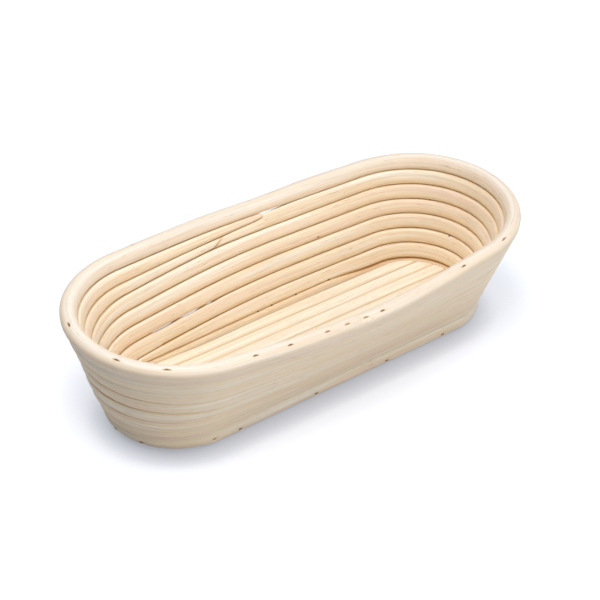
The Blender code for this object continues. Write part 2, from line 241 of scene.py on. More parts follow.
# how far out the rounded base edge lets the winding's thin start stand, from the height of its top
def baseEdge(height, leftward):
    w = wallForm
    reach = w["outsideReach"]
    if height >= w["baseHeight"]:
        return reach
    depth = w["baseHeight"] - height
    easedLimit = reach + w["baseHeight"] - w["leftEase"] * leftward
    eased = clamp(leftward / w["leftEaseRun"])

    def isInside(out):
        planes = (out / reach, depth / w["baseHeight"], eased * (out + depth) / easedLimit)
        return sum(plane ** w["groundRoundness"] for plane in planes) < 1.0

    return max(lastWhere(isInside, 0.0, reach), w["edgeLeast"])


# angles round a section, closer together where the seams are
sectionDegrees = [8, 24, 37, 44, 48.65, 53, 62, 76, 90, 97, 104, 111, 118, 126, 135, 146, 158, 170]
aroundDegrees = sectionDegrees + [180] + [360 - d for d in reversed(sectionDegrees)]
sectionAngles = [math.radians(d) for d in aroundDegrees]


# a cane's outline in the plane of a rib, bounded by its two seams, its sanded face and its inside:
# points as (radius, height, out, up), the last two from the middle of the section
def caneOutline(place, top, bottom, slit=(0.0, 0.0), inside=wallForm["insideReach"], isRim=False):
    w = wallForm
    lean = leanAt(place)
    lowest = min(bottom, groundLevel)
    middleR, middleZ, tilt = wallLine(place, lean, (top + lowest) / 2)
    nr, nz = math.cos(tilt), -math.sin(tilt)
    ur, uz = math.sin(tilt), math.cos(tilt)
    gap = w["bedGap"] / 2
    half = (lowest - top) * w["pitch"] / 2
    flat = lowest - top
    topR, topZ, topTilt = wallLine(place, lean, top)
    slitWidth, slitTilt = slit
    if slitWidth:
        topR -= math.cos(topTilt) * windForm["slitPivot"]
        topZ += math.sin(topTilt) * windForm["slitPivot"]
    topDir = (math.sin(topTilt + slitTilt), math.cos(topTilt + slitTilt))
    topLimit = (topR - middleR) * topDir[0] + (topZ - middleZ) * topDir[1] - gap - slitWidth
    lowR, lowZ, lowTilt = wallLine(place, lean, bottom)
    lowDir = (-math.sin(lowTilt), -math.cos(lowTilt))
    lowLimit = (lowR - middleR) * lowDir[0] + (lowZ - middleZ) * lowDir[1] - gap
    if bottom >= groundLevel:
        lowDir, lowLimit = (0.0, -1.0), middleZ
    grounded = clamp(1.0 - (groundLevel - bottom) / w["groundedRun"])
    startShare = overStart(place)
    leftward = leftwardAt(place)
    bulge = w["outsideBulge"] + w["leftBulge"] * leftward
    reach = baseEdge(topZ, leftward) if bottom >= groundLevel else w["outsideReach"]
    easing = grounded * clamp(leftward / w["leftEaseRun"]) if reach == w["outsideReach"] else 0.0
    easedLimit = w["outsideReach"] + middleZ - w["leftEase"] * leftward * grounded
    squareness = 1.0 / w["outsideRoundness"]
    lowSquareness = squareness + (1.0 / w["groundRoundness"] - squareness) * grounded
    outline = []
    for angle in sectionAngles:
        c, s = math.cos(angle), math.sin(angle) * flat
        rayR, rayZ = nr * c + ur * s, nz * c + uz * s
        if isRim and s > 0.0:
            power = w["rimRoundness"]
        elif c < 0.0:
            power = w["insideRoundness"]
            if s > 0.0 and top > w["turns"] - 1.0:
                power += (w["startRoundness"] - power) * startShare
            elif s < 0.0 and w["turns"] - 1.0 < bottom < groundLevel:
                power += (w["overStartRoundness"] - power) * startShare
        else:
            power = 1.0 / (lowSquareness if s < 0.0 else squareness)
        speeds = [
            -c / inside if c < 0.0 else c / reach,
            (rayR * topDir[0] + rayZ * topDir[1]) / topLimit,
            (rayR * lowDir[0] + rayZ * lowDir[1]) / lowLimit,
        ]
        if c > 0.0 and s < 0.0:
            speeds.append((rayR - rayZ) / easedLimit * easing)
        length = sum(speed ** power for speed in speeds if speed > tiny) ** (-1.0 / power)
        out, rise = c * length, s * length
        if c > 0.0 and not (isRim and s > 0.0):
            out -= bulge * (rise / half) ** 2 * out / w["outsideReach"]
        radius, height = middleR + nr * out + ur * rise, middleZ + nz * out + uz * rise
        outline.append((radius, max(0.0, height), out, rise))
    return outline, half


# painted shade as shares of the half section, where it starts and how far it runs; in the seams it stands
# for shade and dirt together
creaseForm = {
    "outsideShade": 0.14,
    "outsideFrom": 0.60,
    "outsideRun": 0.39,
    "seamFrom": 0.90,
    "seamRun": 0.09,
    "undersideShade": 0.40,
    "undersideFrom": 0.05,
    "undersideRun": 0.8,
}


# painted shade: 0 on the crown, a soft tan shade down the underside, 1 in the seam, where shade and dirt
# are painted together; on the sanded outside, painted shade towards the seams
def creaseAt(out, up, half, onGround=False):
    f = creaseForm
    edge = abs(up) / half
    if out > 0:
        return f["outsideShade"] * clamp((edge - f["outsideFrom"]) / f["outsideRun"])
    if onGround and up < 0:
        return 0.0
    seam = clamp((edge - f["seamFrom"]) / f["seamRun"])
    underside = f["undersideShade"] * clamp((-up / half - f["undersideFrom"]) / f["undersideRun"])
    return max(seam, underside)


# a cane through rings of (position, grain vector, crease): a grid that is closed round and capped
def growCane(name, rings):
    around, last = len(rings[0]), len(rings) - 1
    halfGrid = 0.5
    body = bmesh.new()
    grain = body.verts.layers.float_vector.new("grain")
    crease = body.verts.layers.float.new("crease")
    bmesh.ops.create_grid(body, x_segments=around, y_segments=last, size=halfGrid)
    firsts, doubles = {}, {}
    for vert in body.verts:
        column, row = round((vert.co.x + halfGrid) * around), round((vert.co.y + halfGrid) * last)
        vert.co, vert[grain], vert[crease] = rings[row][column % around]
        if column == 0:
            firsts[row] = vert
        elif column == around:
            doubles[row] = vert
    bmesh.ops.weld_verts(body, targetmap={doubles[row]: firsts[row] for row in doubles})
    bmesh.ops.edgeloop_fill(body, edges=[edge for edge in body.edges if edge.is_boundary])
    bmesh.ops.recalc_face_normals(body, faces=body.faces)
    return addPiece(name, body)


def addPiece(name, body):
    mesh = bpy.data.meshes.new(name)
    body.to_mesh(mesh)
    body.free()
    mesh.shade_smooth()
    mesh.set_sharp_from_angle(angle=sharpAngle)
    piece = bpy.data.objects.new(name, mesh)
    scene.collection.objects.link(piece)
    return piece


def settle(piece, slot, *nodes):
    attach(piece, "root")
    if nodes:
        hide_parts(*nodes)


# share of the climb's length that is left before the tip, raised to a power
def fallen(left, power):
    return clamp(left / windForm["climbLength"]) ** power


# share of a level that the winding has climbed after a walk round the loop
def climbed(walked):
    left, ease = loopWalk - walked, windForm["climbEase"]
    return 1.0 - sum(fallen(left + e, windForm["climbPower"]) for e in (-ease, 0.0, ease)) / 3


# level of the seam on top of a turn
def seamAbove(turn, walked):
    w = windForm
    turns = wallForm["turns"]
    place = placeOnLoop(walked)
    if turn == turns - 1:
        return halfTurn
    if turn == turns - 2:
        level = halfTurn + tipShare + (1.0 - tipShare) * fallen(loopWalk - walked, w["wedgePower"])
    else:
        level = turns - turn - climbed(walked) - halfTurn
    along = (turn * loopWalk + walked) / wallForm["wanderLength"]
    level += wallForm["seamWander"] * noise.noise(Vector((along, wallForm["wanderSeed"], 0.0)))
    if turn == -1 or turn == 0 and walked < loopWalk / 2:
        thick = w["startLevel"] + w["startSlope"] * place[0]
        level += min(0.0, thick - level) * overStart(place)
    nearSag = math.exp(-(((level - w["sagLevel"]) / w["sagReach"]) ** 2))
    if turn < turns - 2 or walked < loopWalk / 2:
        level += w["sag"] * nearSag * alongFar(place, w["sagX"], w["sagX"], w["sagRun"])
    return level


# brads: T-headed wire nails, where their heads show
rimBrads = (
    [("near", x * wallForm["halfStraight"]) for x in (-0.89, -0.65, -0.38, -0.23, -0.09, 0.04, 0.76)]
    + [("far", x * wallForm["halfStraight"]) for x in (-0.83, -0.20, 0.10, 0.52)]
    + [("left", d) for d in (165.0, 207.0, 234.0)]
    + [("right", -76.0)]
)
baseBrads = (
    [("near", x * wallForm["halfStraight"]) for x in (-0.83, -0.22, 0.38, 0.88)]
    + [("far", x * wallForm["halfStraight"]) for x in (0.45, 0.80)]
    + [("left", d) for d in (181.0, 208.0, 266.5)]
    + [("right", 0.0)]
)
dentForm = {
    "depth": 0.55 * mm,
    "steepness": 1.6,
    "alongReach": 2.6 * mm,
    "acrossReach": 0.8 * mm,
    "ringOffsets": [x * mm for x in (-2.4, -1.9, -1.5, -1.1, -0.7, -0.3,
                                     0.0, 0.3, 0.7, 1.1, 1.5, 1.9, 2.4)],
    "clear": 2.9 * mm,
    "sideShade": 0.6,
    "sideHeight": 2.6 * mm,
    "endHeight": 4.3 * mm,
}


def walksWithDents(walks, dentWalks):
    kept = [w for w in walks if all(abs(w - d) > dentForm["clear"] for d in dentWalks)]
    return sorted(kept + [d + offset for d in dentWalks for offset in dentForm["ringOffsets"]])


def dentDepth(along, across):
    away = (along / dentForm["alongReach"]) ** 2 + (across / dentForm["acrossReach"]) ** 2
    return dentForm["depth"] * clamp(dentForm["steepness"] * (1.0 - away))


def evenWalks(start, end, step):
    count = max(1, round((end - start) / step))
    return [start + (end - start) * i / count for i in range(count)]


# an open slit on top of a turn, as width and tilt
def slitAt(turn, walked, place):
    w, x = windForm, place[0]
    if turn == wallForm["turns"] - 1 and walked < w["tipSlitRun"]:
        share = 1.0 - walked / w["tipSlitRun"]
        return w["tipSlit"] * share, w["tipSlitTilt"] * math.sqrt(share)
    if turn == w["slitTurn"] and walked > loopWalk - farLeftWalk:
        share = max(clamp(min(x - start, end - x) / w["slitEase"]) for start, end in w["slitStretches"])
        return w["slitWidth"] * share, w["slitTilt"] * share
    return 0.0, 0.0


# wall: one winding in two lengths
def windingRings():
    turns, w = wallForm["turns"], windForm
    baseDents = []
    for place in baseBrads:
        height = dentForm["sideHeight"] if place[0] in ("near", "far") else dentForm["endHeight"]
        baseDents.append((walkTo(*place), height))
    firstWalk = next(x for x in evenWalks(0.0, loopWalk, w["startSearch"]) if climbed(x) > w["firstShare"])
    step = w["notchStep"]
    rings = []
    for turn in range(-1, turns):
        walks = evenWalks(firstWalk if turn < 0 else 0.0, loopWalk, w["ringStep"])
        if turn == 0:
            walks = walksWithDents(walks, [dent for dent, height in baseDents])
        if turn == turns - 1:
            walks = walks[:1] + [step, 2 * step] + walks[1:] + [loopWalk - w["endGap"]]
        for walked in walks:
            place = placeOnLoop(walked)
            along = turn * loopWalk + walked
            top = seamAbove(turn, walked)
            bottom = seamAbove(turn - 1, walked)
            slit = slitAt(turn, walked, place)
            inside = wallForm["insideReach"]
            if turn == turns - 1 and walked <= step:
                top, slit = halfTurn + tipShare, (0.0, 0.0)
            if turn < 0 or turn == 0 and walked < firstWalk:
                bottom = groundLevel + wallForm["groundDepth"]
            if turn < 0 or turn == 0 and walked < loopWalk / 2:
                inside += w["startReach"] * overStart(place)
            seeds = wallForm["wobbleSeed"], turn * wallForm["turnSeed"]
            inside += wallForm["wobble"] * noise.noise(Vector((along / wallForm["wobbleLength"], *seeds)))
            outline, half = caneOutline(place, top, bottom, slit, inside)
            wedgeShade = w["wedgeShade"] + (1.0 - w["wedgeShade"]) * fallen(loopWalk - walked, 1.0)
            startShade = 1.0 - w["startShade"] * overStart(place)
            ring = []
            for r, z, out, up in outline:
                crease = creaseAt(out, up, half, bottom >= groundLevel)
                if turn == turns - 1 and up < 0 or turn == turns - 2 and up > 0:
                    crease *= wedgeShade
                if (top if up > 0 else bottom) > turns - 1.0:
                    crease *= startShade
                if turn == 0 and out > 0:
                    for dent, height in baseDents:
                        depth = dentDepth(walked - dent, z - height)
                        r -= depth
                        crease = max(crease, dentForm["sideShade"] * depth / dentForm["depth"])
                ring.append((inSpace(place, r, z), Vector((along, out, up)), crease))
            rings.append((turn, walked, place, ring))
    return rings


# the higher the power, the closer a gap or shade keeps to its splice
spliceForm = {
    "gapPower": 4,
    "shadePower": 20,
}


# a ring near a slanted splice leans over with it and stands apart there; side is +1 or -1 along X
def leanToSplice(place, ring, form, side):
    near = clamp(1.0 - abs(place[0] - form["spliceX"]) / form["spliceRun"])
    gapShare = side / 2 * near ** spliceForm["gapPower"]
    shade = form["spliceShade"] * near ** spliceForm["shadePower"]
    leaned = []
    for position, grainAt, crease in ring:
        lowShare = clamp(halfTurn - grainAt.z / wallForm["pitch"])
        apart = gapShare * (form["spliceGap"] + form["spliceOpening"] * lowShare)
        moved = Vector((form["spliceSlope"] * grainAt.z * near + apart, 0.0, 0.0))
        leaned.append((position + moved, grainAt, max(crease, shade)))
    return leaned


windings = windingRings()
spliceTurn = wallForm["turns"] - 2
spliceWalk = walkTo("far", windForm["spliceX"])
spliceAt = min(
    (i for i, item in enumerate(windings) if item[0] == spliceTurn),
    key=lambda i: abs(windings[i][1] - spliceWalk),
)
wallSplice = dict(windForm, spliceX=windings[spliceAt][2][0])


def wallRings(items, side):
    rings = []
    for turn, walked, place, ring in items:
        if turn == spliceTurn and abs(walked - spliceWalk) < wallSplice["spliceRun"]:
            ring = leanToSplice(place, ring, wallSplice, side)
        rings.append(ring)
    return rings


lowerCane = growCane("lowerWallCane", wallRings(windings[: spliceAt + 1], -1))
upperCane = growCane("upperWallCane", wallRings(windings[spliceAt:], 1))
settle(lowerCane, "rattan_wall", "lower_wall_cane")
settle(upperCane, "rattan_wall", "upper_wall_cane")
print("winding:", len(windings), "rings")

# rim: one cane that meets itself in a long slanted splice, left piece on top
rimForm = {
    "top": -0.525,  # level
    "swell": 0.12,  # levels, the cane is thicker in one place of the far side
    "swellX": 58.0 * mm,
    "swellReach": 48.0 * mm,
    "spliceX": -28.0 * mm,
    "spliceSlope": 3.2,
    "spliceRun": 32.0 * mm,
    "spliceGap": 0.06 * mm,
    "spliceOpening": 0.0,
    "spliceShade": 0.25,
    "outsideShade": 0.22,  # painted shade on the outer face, towards a darker beige
    "outsideShadeReach": 2.5 * mm,
    "wobbleLength": 80.0 * mm,
    "wobbleSeeds": (2.3, 5.0),
    "grainStart": 11.0,  # metres along, away from the grain of the wall
    "ringStep": 2.6 * mm,
    "endClear": 0.3 * mm,  # no other ring is closer to the last one
    "endGap": 0.01 * mm,
}


# where a ring has to start so that its top lies at x after it has leaned over with the splice
def beforeLean(x):
    f = rimForm

    def isBefore(start):
        near = clamp(1.0 - abs(start - f["spliceX"]) / f["spliceRun"])
        return start + f["spliceSlope"] * wallForm["insideReach"] * near < x

    return lastWhere(isBefore, x - f["spliceRun"], x + f["spliceRun"])


def rimRings():
    f = rimForm
    splice = walkTo("near", f["spliceX"])
    end = splice + loopWalk
    dents = []
    for side, where in rimBrads:
        walked = walkTo(side, beforeLean(where) if side == "near" else where)
        dents.append((walked if walked > splice else walked + loopWalk, side, where))
    walks = walksWithDents(evenWalks(splice, end, f["ringStep"]), [dent[0] for dent in dents])
    walks = [walked for walked in walks if splice < walked < end - f["endClear"]]
    rings = []
    for walked in [splice] + walks + [end - f["endGap"]]:
        place = placeOnLoop(walked)
        wobble = noise.noise(Vector((walked / f["wobbleLength"], *f["wobbleSeeds"])))
        inside = wallForm["insideReach"] + wallForm["wobble"] * wobble
        top = f["top"] - f["swell"] * alongFar(place, f["swellX"], f["swellX"], f["swellReach"])
        outline, half = caneOutline(place, top, halfTurn, inside=inside, isRim=True)
        tilt = wallLine(place, leanAt(place), 0.0)[2]
        onNear = place[1] == nearSide
        ring = []
        for r, z, out, up in outline:
            crease = creaseAt(out, up, half) if up < 0 else 0.0
            # painted shade that grows across the rim's outer face
            crease = max(crease, f["outsideShade"] * clamp(out / f["outsideShadeReach"]))
            ring.append((inSpace(place, r, z), Vector((walked + f["grainStart"], out, up)), crease))
        if onNear and abs(place[0] - f["spliceX"]) < f["spliceRun"]:
            side = -1 if walked < splice + loopWalk / 2 else 1
            ring = leanToSplice(place, ring, f, side)
        # a dent sinks the surface round a brad and is painted with shade, darkest where it is deepest
        dented = []
        for position, grainAt, crease in ring:
            depth = 0.0
            if grainAt.z > 0:
                for dent, side, where in dents:
                    along = position.x - where if onNear and side == "near" else walked - dent
                    depth = max(depth, dentDepth(along, grainAt.y))
            sink = inSpace((0.0, place[1]), -depth * math.sin(tilt), -depth * math.cos(tilt))
            dented.append((position + sink, grainAt, max(crease, depth / dentForm["depth"])))
        rings.append(dented)
    return rings


rimCane = growCane("rimCane", rimRings())
settle(rimCane, "rattan_rim", "rim_cane")
print("rim:", len(rimCane.data.vertices), "points")

# base: straight canes, sanded on top, cut to the curve inside the base turn
baseForm = {
    "canes": 7,
    "clearance": 0.5 * mm,
    "gap": 0.10 * mm,
    "topReach": 4.85 * mm,
    "topRoundness": 6.0,
    "lowRoundness": 10.0,
    "rings": 90,
    "pointsAround": 32,
    "endEase": 1.2 * mm,
    "endDrop": 0.4 * mm,
    "endTint": 0.5,
    "lift": 0.25 * mm,  # some canes stand higher
    "liftSeed": 3.1,
    "liftRow": 0.4,
    "wave": 0.10 * mm,  # along each cane
    "waves": 5.0,
    "waveSeed": 2.7,
    "waveRow": 1.0,
    "creaseFrom": 0.90,  # shares of the half width
    "creaseRun": 0.10,
    "lowShade": 0.3,
    "farGrooveX": -45.0 * mm,  # the last cane is worn round on its far edge here, with painted shade in the groove beside it
    "farGrooveRun": 75.0 * mm,
    "farGrooveRoundness": 2.0,
    "farGrooveShade": 0.6,
    "farGrooveShadeFrom": 0.5,
    "farGrooveShadeRun": 0.4,
    "grainStart": 30.0,  # metres along, each cane has a grain of its own
    "grainStep": 1.37,
}


def baseCane(number):
    f = baseForm
    innerRadius = wallForm["baseRadius"] - wallForm["insideReach"] - f["clearance"]
    caneWidth = 2 * innerRadius / f["canes"]
    middle = (number - (f["canes"] - 1) / 2) * caneWidth
    halfWidth = (caneWidth - f["gap"]) / 2
    lift = f["lift"] * noise.noise(Vector((number * f["liftSeed"], f["liftRow"], 0.0)))
    rings = []
    for step in range(f["rings"] + 1):
        share = -math.cos(math.pi * step / f["rings"])  # finer at the two ends
        wave = f["wave"] * noise.noise(Vector((share * f["waves"], number * f["waveSeed"], f["waveRow"])))
        groove = 0.0
        if number == f["canes"] - 1:
            farPlace = (share * wallForm["halfStraight"], farSide)
            groove = alongFar(farPlace, f["farGrooveX"], f["farGrooveX"], f["farGrooveRun"])
        ring = []
        for point in range(f["pointsAround"]):
            angle = 2 * math.pi * (point + 0.5) / f["pointsAround"]
            c, s = math.cos(angle), math.sin(angle)
            rise = f["topReach"] + lift if s > 0 else wallForm["baseHeight"]
            wornAndShaded = groove if s > 0 and c > 0 else 0.0
            power = f["topRoundness"] if s > 0 else f["lowRoundness"]
            power += (f["farGrooveRoundness"] - power) * wornAndShaded
            length = ((abs(c) / halfWidth) ** power + (abs(s) / rise) ** power) ** (-1.0 / power)
            y, z = middle + c * length, wallForm["baseHeight"] + s * length
            end = wallForm["halfStraight"] + math.sqrt(max(0.0, innerRadius ** 2 - y ** 2))
            eased = clamp(1.0 - (1.0 - abs(share)) * end / f["endEase"])
            if s > 0:
                z += wave * s - f["endDrop"] * eased * eased
            edge = abs(c * length) / halfWidth
            # painted shade along the far groove
            grooveShade = f["farGrooveShade"] * clamp((edge - f["farGrooveShadeFrom"]) / f["farGrooveShadeRun"])
            # painted shade in the grooves between the canes, and on their undersides
            crease = clamp((edge - f["creaseFrom"]) / f["creaseRun"]) if s > 0 else f["lowShade"]
            crease = max(crease, grooveShade * wornAndShaded, f["endTint"] * eased)
            along = share * end + number * f["grainStep"] + f["grainStart"]
            grainAt = Vector((along, c * length, s * length))
            ring.append((Vector((share * end, y, max(0.0, z))), grainAt, crease))
        rings.append(ring)
    return growCane("baseCane_%d" % (number + 1), rings)


baseCanes = [baseCane(number) for number in range(baseForm["canes"])]
for number, piece in enumerate(baseCanes, 1):
    settle(piece, "rattan_base", "base_cane_%d" % number)
print("base:", len(baseCanes), "canes")

# pins that show as dark dots and faint pegs of the wall's rattan, as side, place and level;
# level None is on the seam over the base turn
pinForm = {
    "pins": [
        ("far", 51.5 * mm, None),
        ("far", 24.0 * mm, None),
        ("far", 4.5 * mm, None),
        ("far", -6.5 * mm, None),
        ("far", 52.0 * mm, 3.38),
        ("right", 38.0, 2.47),
        ("right", 15.0, 4.56),
    ],
    "pegs": [("right", 7.0, 4.95), ("right", 8.0, 6.0), ("far", 79.0 * mm, 1.08)],
    "radius": 0.6 * mm,
    "taper": 0.9,
    "length": 3.0 * mm,
    "proud": 0.12 * mm,
    "seamReach": 4.7 * mm,  # a pin in a seam stands this far in from the wall's middle
    "segments": 12,
    "pegStain": 0.62,
}


# the inside surface of the wall at a place and level: position and inward direction
def insideWall(side, where, level):
    walked = walkTo(side, where)
    place = placeOnLoop(walked)
    lean = leanAt(place)
    if level is None:
        seam = seamAbove(-1 if walked > loopWalk / 2 else 0, walked)
        radius, height, tilt = wallLine(place, lean, seam)
        inward = inSpace((0.0, place[1]), -math.cos(tilt), math.sin(tilt))
        return inSpace(place, radius, height) + inward * pinForm["seamReach"], inward
    turn = next(t for t in range(wallForm["turns"] - 1, -1, -1) if seamAbove(t - 1, walked) > level)
    outline = caneOutline(place, seamAbove(turn, walked), seamAbove(turn - 1, walked))[0]
    radius, height, tilt = wallLine(place, lean, level)
    up = (math.sin(tilt), math.cos(tilt))
    spot = min(
        (point for point in outline if point[2] < 0),
        key=lambda point: abs((point[0] - radius) * up[0] + (point[1] - height) * up[1]),
    )
    inward = inSpace((0.0, place[1]), -math.cos(tilt), math.sin(tilt))
    return inSpace(place, spot[0], spot[1]), inward


def seamPins(name, places, stain):
    f = pinForm
    body = bmesh.new()
    crease = body.verts.layers.float.new("crease")
    for place in places:
        spot, inward = insideWall(*place)
        middle = spot + inward * (f["proud"] - f["length"] / 2)
        turned = inward.to_track_quat("Z", "Y").to_matrix().to_4x4()
        bmesh.ops.create_cone(
            body,
            cap_ends=True,
            segments=f["segments"],
            radius1=f["radius"],
            radius2=f["radius"] * f["taper"],
            depth=f["length"],
            matrix=Matrix.Translation(middle) @ turned,
        )
    for vert in body.verts:
        vert[crease] = stain
    return addPiece(name, body)


pins = seamPins("seamPins", pinForm["pins"], 0.0)
pegs = seamPins("seamPegs", pinForm["pegs"], pinForm["pegStain"])
settle(pins, "steel_brads")
settle(pegs, "rattan_wall")
print("pins:", len(pinForm["pins"]), "pegs:", len(pinForm["pegs"]))


# looks
white = "#FFFFFF"


def linear(hexColour):
    parts = [int(hexColour[i : i + 2], 16) / 255 for i in (1, 3, 5)]
    return tuple(p / 12.92 if p <= 0.04045 else ((p + 0.055) / 1.055) ** 2.4 for p in parts) + (1.0,)


def addNode(tree, kind, values=None, links=None, **settings):
    node = tree.nodes.new(kind)
    for key, value in settings.items():
        setattr(node, key, value)
    for key, value in (values or {}).items():
        node.inputs[key].default_value = value
    for key, (source, output) in (links or {}).items():
        tree.links.new(source.outputs[output], node.inputs[key])
    return node


def setRamp(node, stops, colours):
    ramp = node.color_ramp
    while len(ramp.elements) < len(stops):
        ramp.elements.new(0.5)
    for element, position, colour in zip(ramp.elements, stops, colours):
        element.position = position
        element.color = linear(colour)
    return node


def emptyMaterial(name):
    material = bpy.data.materials.new(name)
    material.use_nodes = True
    material.node_tree.nodes.clear()
    return material, material.node_tree


# peeled rattan core, split from the vine and drawn round: pale, silky, with fibres that run along the cane,
# fine open pores between them and straw or peach stretches where the sap was darker
rattanLooks = {
    # in each look, low is the colour of the painted shade down the undersides and outer faces, seam that of
    # the painted shade and dirt in the seams and of the painted shade in the dents
    "rattan_wall": {
        "tones": ("#FAF0DF", "#F8E6C8", "#F7E1CB"),  # pale, straw, peach
        "low": "#F2D6AC",
        "seam": "#D2A36B",
    },
    "rattan_rim": {
        "tones": ("#F7EDDE", "#F4E5D0", "#F4E2D0"),
        "low": "#F0D8B6",
        "seam": "#8F6A42",
    },
    "rattan_base": {
        "tones": ("#FCF5E6", "#F9ECD4", "#F9E8D2"),
        "low": "#F3DDB8",
        "seam": "#DDB98A",
    },
}
rattanGrain = {
    "fibres": {"length": 50.0 * mm, "width": 0.45 * mm, "detail": 3.0, "roughness": 0.6},
    "pores": {"length": 9.0 * mm, "width": 0.5 * mm, "detail": 2.0, "roughness": 0.5},
    "stretches": {"length": 130.0 * mm, "width": 3.2 * mm, "detail": 2.0, "roughness": 0.5},
}
rattanFinish = {
    "toneStops": (0.36, 0.52, 0.68),
    "fibreStops": (0.34, 0.60),
    "fibreColour": "#EDE2D2",
    "fibreShare": 0.8,
    "poreStops": (0.26, 0.35),
    "poreColour": "#D8BE9C",
    "poreShare": 0.7,
    "lowTo": 0.5,  # values of the crease attribute
    "seamFrom": 0.45,
    "lowShare": 0.75,
    "seamShare": 0.9,
    "smoothest": 0.50,
    "roughest": 0.68,
    "ior": 1.5,
    "specular": 0.3,
    "bumpStrength": 0.4,
    "bumpDepth": 0.05 * mm,
    "glowWeight": 0.18,  # light that soaks into the core and comes out warm
    "glowReach": 2.0 * mm,
    "glowTint": (1.0, 0.65, 0.40),
}


def peeledRattan(name, look):
    material, tree = emptyMaterial("peeledRattan_" + name)
    f = rattanFinish
    grain = addNode(tree, "ShaderNodeAttribute", attribute_name="grain")
    crease = addNode(tree, "ShaderNodeAttribute", attribute_name="crease")
    marks = {}
    for mark, g in rattanGrain.items():
        scale = (1.0 / g["length"], 1.0 / g["width"], 1.0 / g["width"])
        space = addNode(tree, "ShaderNodeMapping", {"Scale": scale}, {"Vector": (grain, "Vector")})
        values = {"Scale": 1.0, "Detail": g["detail"], "Roughness": g["roughness"]}
        marks[mark] = addNode(tree, "ShaderNodeTexNoise", values, {"Vector": (space, "Vector")})

    tone = addNode(tree, "ShaderNodeValToRGB", links={"Fac": (marks["stretches"], "Fac")})
    setRamp(tone, f["toneStops"], look["tones"])
    fibreRamp = addNode(tree, "ShaderNodeValToRGB", links={"Fac": (marks["fibres"], "Fac")})
    setRamp(fibreRamp, f["fibreStops"], (f["fibreColour"], white))
    poreRamp = addNode(tree, "ShaderNodeValToRGB", links={"Fac": (marks["pores"], "Fac")})
    setRamp(poreRamp, f["poreStops"], (f["poreColour"], white))
    toned = addNode(
        tree,
        "ShaderNodeMix",
        {"Factor": f["fibreShare"]},
        {"A": (tone, "Color"), "B": (fibreRamp, "Color")},
        data_type="RGBA",
        blend_type="MULTIPLY",
    )
    pored = addNode(
        tree,
        "ShaderNodeMix",
        {"Factor": f["poreShare"]},
        {"A": (toned, "Result"), "B": (poreRamp, "Color")},
        data_type="RGBA",
        blend_type="MULTIPLY",
    )
    # painted shade from the crease attribute: tan down the undersides, then the seam colour, where shade
    # and dirt are painted together
    lowShare = addNode(
        tree,
        "ShaderNodeMapRange",
        {"From Max": f["lowTo"], "To Max": f["lowShare"]},
        {"Value": (crease, "Fac")},
    )
    lowered = addNode(
        tree,
        "ShaderNodeMix",
        {"B": linear(look["low"])},
        {"Factor": (lowShare, "Result"), "A": (pored, "Result")},
        data_type="RGBA",
    )
    seamShare = addNode(
        tree,
        "ShaderNodeMapRange",
        {"From Min": f["seamFrom"], "To Max": f["seamShare"]},
        {"Value": (crease, "Fac")},
    )
    colour = addNode(
        tree,
        "ShaderNodeMix",
        {"B": linear(look["seam"])},
        {"Factor": (seamShare, "Result"), "A": (lowered, "Result")},
        data_type="RGBA",
    )
    roughness = addNode(
        tree,
        "ShaderNodeMapRange",
        {"To Min": f["smoothest"], "To Max": f["roughest"]},
        {"Value": (marks["fibres"], "Fac")},
    )
    bump = addNode(
        tree,
        "ShaderNodeBump",
        {"Strength": f["bumpStrength"], "Distance": f["bumpDepth"]},
        {"Height": (marks["fibres"], "Fac")},
    )
    shader = addNode(
        tree,
        "ShaderNodeBsdfPrincipled",
        {
            "IOR": f["ior"],
            "Specular IOR Level": f["specular"],
            "Subsurface Weight": f["glowWeight"],
            "Subsurface Scale": f["glowReach"],
            "Subsurface Radius": f["glowTint"],
        },
        {"Base Color": (colour, "Result"), "Roughness": (roughness, "Result"), "Normal": (bump, "Normal")},
    )
    addNode(tree, "ShaderNodeOutputMaterial", links={"Surface": (shader, "BSDF")})
    return material


rattan = {name: peeledRattan(name, look) for name, look in rattanLooks.items()}
lowerCane.data.materials.append(rattan["rattan_wall"])
upperCane.data.materials.append(rattan["rattan_wall"])
pegs.data.materials.append(rattan["rattan_wall"])
rimCane.data.materials.append(rattan["rattan_rim"])
for piece in baseCanes:
    piece.data.materials.append(rattan["rattan_base"])


# mild steel wire brads, blunt cut and tumbled: brown oxide over grey, dull, with brighter rubbed spots
steelForm = {
    "dulled": ("#5A4330", "#957858"),
    "sanded": ("#8A7058", "#B49A7C"),  # sanded over with the outside
    "sandedBrads": ("rim_brad_4", "rim_brad_5", "rim_brad_15"),
    "spotSize": 0.7 * mm,
    "spotDetail": 3.0,
    "spotStops": (0.35, 0.70),
    "smoothest": 0.4,
    "roughest": 0.7,
    "metallic": 0.5,
}


def steelWire(name, colours):
    material, tree = emptyMaterial(name)
    f = steelForm
    place = addNode(tree, "ShaderNodeTexCoord")
    spots = addNode(
        tree,
        "ShaderNodeTexNoise",
        {"Scale": 1.0 / f["spotSize"], "Detail": f["spotDetail"]},
        {"Vector": (place, "Object")},
    )
    tone = addNode(tree, "ShaderNodeValToRGB", links={"Fac": (spots, "Fac")})
    setRamp(tone, f["spotStops"], colours)
    roughness = addNode(
        tree,
        "ShaderNodeMapRange",
        {"To Min": f["smoothest"], "To Max": f["roughest"]},
        {"Value": (spots, "Fac")},
    )
    shader = addNode(
        tree,
        "ShaderNodeBsdfPrincipled",
        {"Metallic": f["metallic"]},
        {"Base Color": (tone, "Color"), "Roughness": (roughness, "Result")},
    )
    addNode(tree, "ShaderNodeOutputMaterial", links={"Surface": (shader, "BSDF")})
    return material


